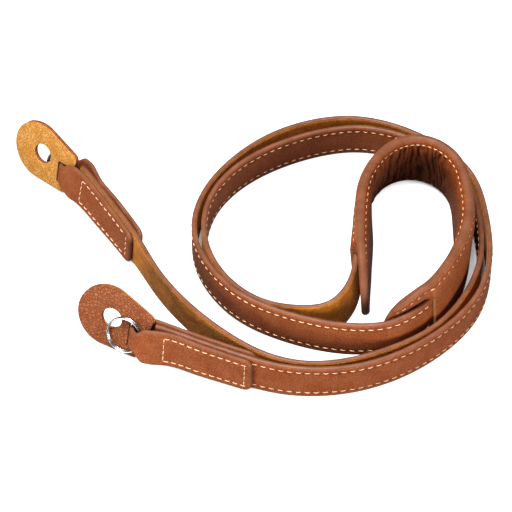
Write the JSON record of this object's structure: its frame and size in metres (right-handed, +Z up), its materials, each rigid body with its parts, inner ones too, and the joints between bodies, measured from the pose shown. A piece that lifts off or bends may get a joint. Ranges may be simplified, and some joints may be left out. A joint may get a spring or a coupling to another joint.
{
  "type": "camera neck strap",
  "caption": "Coiled leather camera neck strap with a padded slip-on neck pad and a leather guard and split ring at each end.",
  "frame": {"origin": "middle of the footprint, on the surface that the strap lies on", "axes": "+Z up from the surface; +X to the right and +Y away, seen from the side where both ends point left"},
  "size_m": [0.1911, 0.1347, 0.0324],
  "materials": {
    "strap_leather": "smooth brown leather with a fine grain, semi-gloss",
    "strap_lining": "golden brown suede, matt",
    "pad_face": "soft brown leather, semi-gloss",
    "pad_back": "soft brown leather, padded and gathered",
    "end_loop_a": "smooth brown leather with a fine grain, semi-gloss",
    "end_loop_b": "smooth brown leather with a fine grain, semi-gloss",
    "guard_a": "leather plate, golden suede on its back",
    "guard_b": "leather plate with a pebbled brown face",
    "ring_a": "nickel-plated steel wire, polished",
    "ring_b": "nickel-plated steel wire, polished",
    "thread": "waxed thread, light tan"
  },
  "bodies": {
    "root": {"strap_leather": "strap_leather", "strap_lining": "strap_lining", "pad_face": "pad_face", "pad_back": "pad_back", "end_loop_a": "end_loop_a", "end_loop_b": "end_loop_b", "guard_a": "guard_a", "guard_b": "guard_b", "ring_a": "ring_a", "ring_b": "ring_b"}
  },
  "joints": []
}
